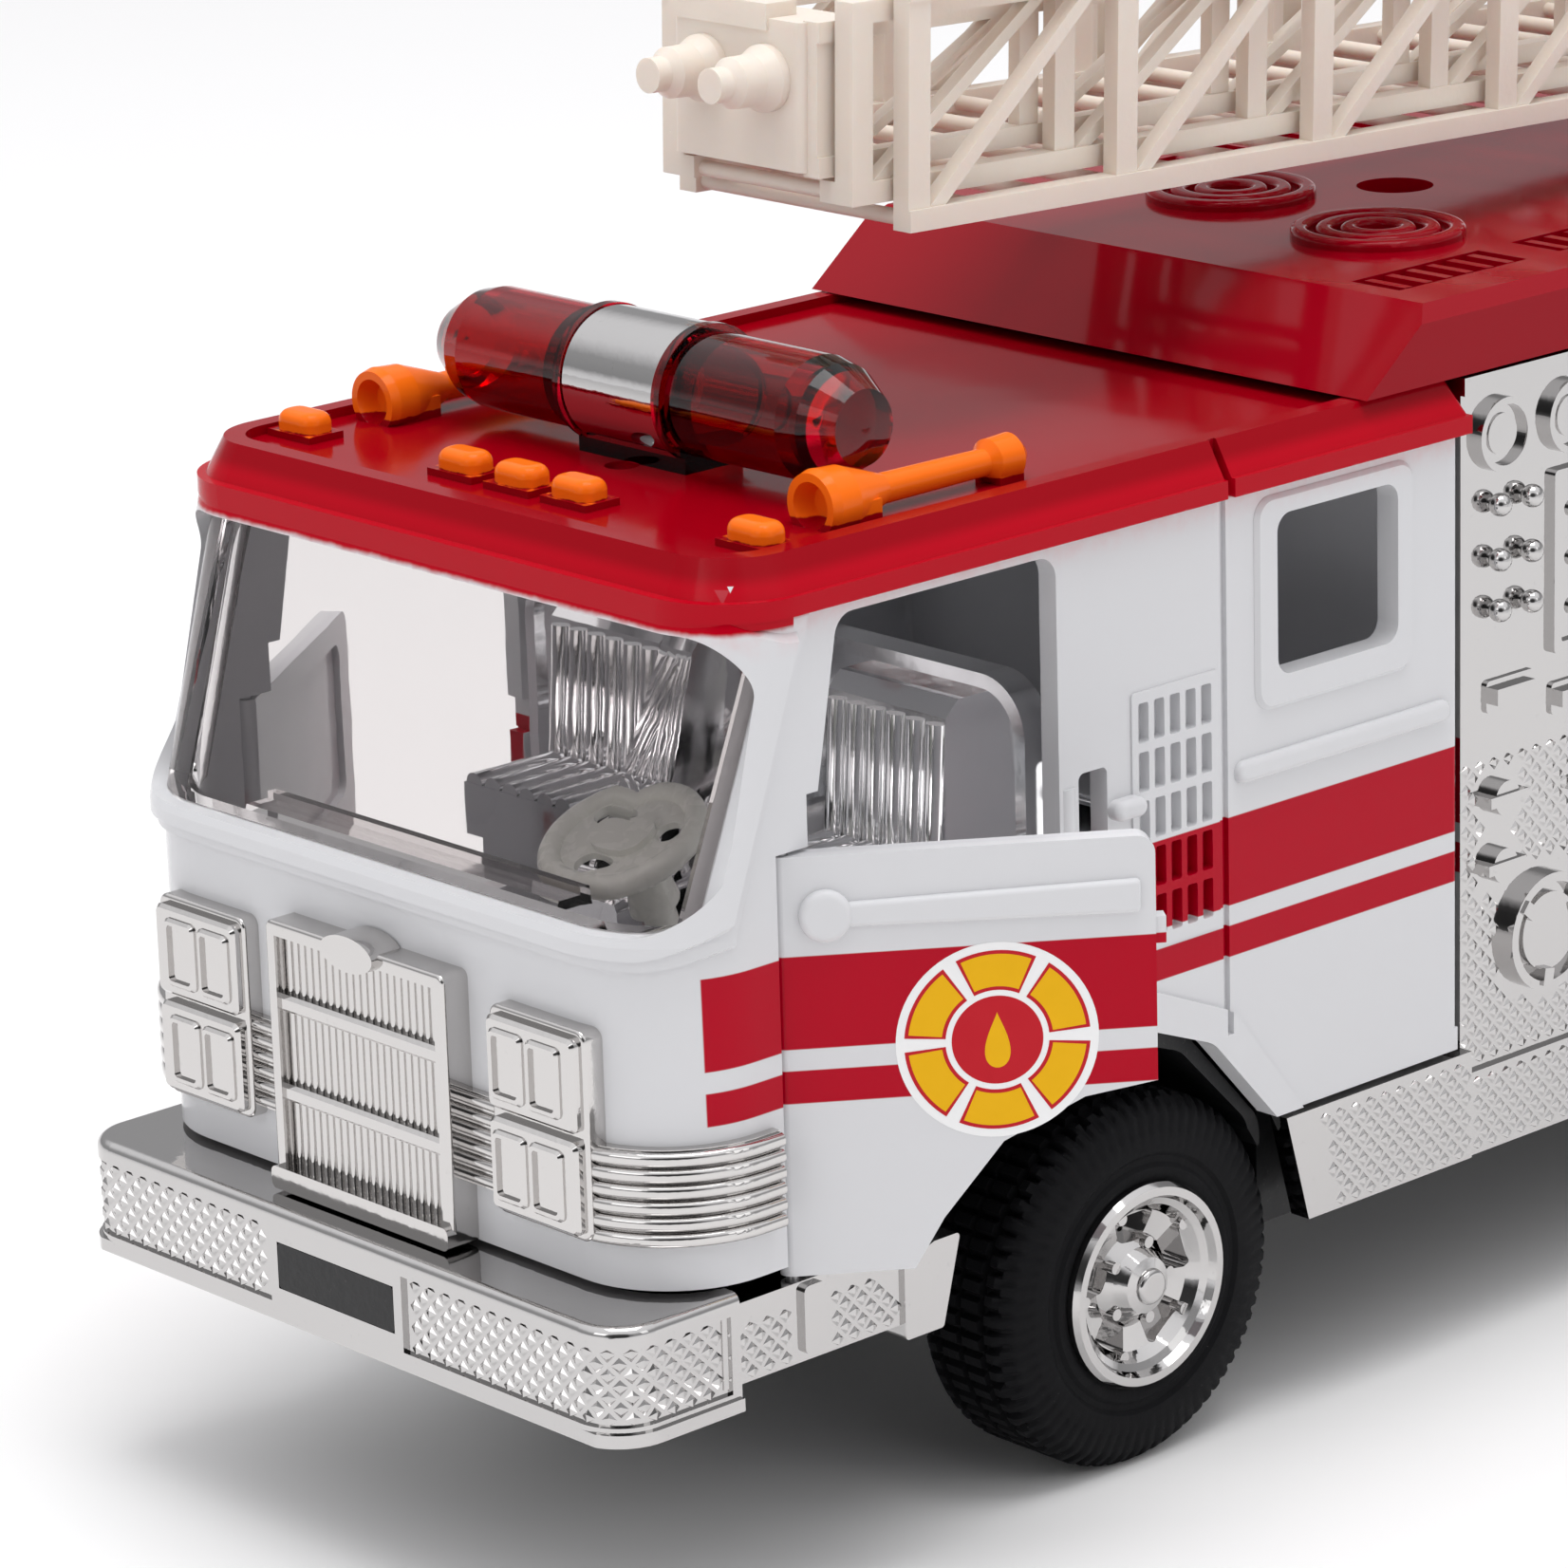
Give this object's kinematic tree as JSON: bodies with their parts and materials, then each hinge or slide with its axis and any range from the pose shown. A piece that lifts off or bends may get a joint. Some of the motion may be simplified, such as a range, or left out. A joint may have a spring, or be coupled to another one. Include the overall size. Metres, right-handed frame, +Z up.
{
  "type": "toy fire engine",
  "caption": "Die-cast toy fire engine with opening cab doors, rolling wheels, a pull-back motor and an aerial ladder that turns, lifts and extends.",
  "frame": {"origin": "on the ground under the middle of the truck", "axes": "+Z up; +Y from the front bumper to the tailboard; +X to the driver side"},
  "size_m": [0.0846, 0.212, 0.1031],
  "materials": {
    "white_paint": "gloss enamel on die-cast metal, red roof, stripes and amber lamps painted over it",
    "red_plastic": "gloss red moulded plastic",
    "chrome_plate": "vacuum chrome plating on plastic",
    "clear_plastic": "clear moulded plastic",
    "red_clear": "clear red moulded plastic",
    "black_plastic": "satin black plastic",
    "black_gloss": "gloss black",
    "tyre_rubber": "soft black rubber",
    "ivory_plastic": "satin ivory plastic",
    "ivory_clear": "milky translucent plastic",
    "steel": "plain steel",
    "white_plastic": "natural white nylon",
    "brass": "plain brass"
  },
  "bodies": {
    "truck_body": {"cab_shell": "white_paint", "windshield": "clear_plastic", "front_fascia": "chrome_plate", "front_bumper": "chrome_plate", "number_plate": "black_gloss", "lightbar_lens": "red_clear", "lightbar_band": "chrome_plate", "cab_interior": "chrome_plate", "steering_wheel": "ivory_clear", "left_door_pin": "steel", "right_door_pin": "steel", "chassis": "black_plastic", "chassis_screws": "steel", "motor_case": "white_plastic", "motor_cover": "white_plastic", "motor_screws": "steel", "motor_shaft": "steel", "mainspring": "steel", "rear_deck": "red_plastic", "left_side_panel": "chrome_plate", "right_side_panel": "chrome_plate", "rear_panel": "chrome_plate", "tail_lights": "red_clear", "tailboard": "chrome_plate", "turntable_ring": "black_plastic", "turntable_pivot": "steel"},
    "front_wheels": {"front_axle": "steel", "front_rims": "chrome_plate", "front_tyres": "tyre_rubber"},
    "rear_wheels": {"rear_axle": "steel", "rear_rims": "chrome_plate", "rear_tyres": "tyre_rubber", "axle_gear": "brass"},
    "spring_drum": {"spring_gear": "white_plastic"},
    "left_door": {"left_door": "white_paint"},
    "right_door": {"right_door": "white_paint"},
    "turntable": {"turntable": "red_plastic", "ladder_pin": "steel"},
    "outer_ladder": {"ladder_outer": "ivory_plastic"},
    "middle_ladder": {"ladder_middle": "ivory_plastic"},
    "inner_ladder": {"ladder_inner": "ivory_plastic"}
  },
  "joints": [
    {"name": "front_wheels_spin", "type": "hinge", "parent": "truck_body", "child": "front_wheels", "pos_m": [0, -0.0565, 0.0134], "axis": [1, 0, 0], "continuous": true},
    {"name": "rear_wheels_spin", "type": "hinge", "parent": "truck_body", "child": "rear_wheels", "pos_m": [0, 0.054, 0.0134], "axis": [1, 0, 0], "continuous": true},
    {"name": "spring_drum_spin", "type": "hinge", "parent": "truck_body", "child": "spring_drum", "pos_m": [0, 0.0449, 0.0134], "axis": [1, 0, 0], "continuous": true},
    {"name": "left_door_swing", "type": "hinge", "parent": "truck_body", "child": "left_door", "pos_m": [0.0272, -0.0894, 0.038], "axis": [0, 0, -1], "range_deg": [-36, 34]},
    {"name": "right_door_swing", "type": "hinge", "parent": "truck_body", "child": "right_door", "pos_m": [-0.0272, -0.0894, 0.038], "axis": [0, 0, 1], "range_deg": [-36, 34]},
    {"name": "turntable_turn", "type": "hinge", "parent": "truck_body", "child": "turntable", "pos_m": [0, 0.066, 0.078], "axis": [0, 0, 1], "continuous": true},
    {"name": "ladder_lift", "type": "hinge", "parent": "turntable", "child": "outer_ladder", "pos_m": [0, 0.078, 0.0897], "axis": [-1, 0, 0], "range_deg": [-2, 66]},
    {"name": "middle_ladder_slide", "type": "slide", "parent": "outer_ladder", "child": "middle_ladder", "axis": [0, -0.9994, 0.0349], "range_m": [0, 0.105]},
    {"name": "inner_ladder_slide", "type": "slide", "parent": "middle_ladder", "child": "inner_ladder", "axis": [0, -0.9994, 0.0349], "range_m": [0, 0.105]}
  ],
  "couplings": [
    {"joint": "spring_drum_spin", "follows": "rear_wheels_spin", "ratio": -0.55556}
  ]
}
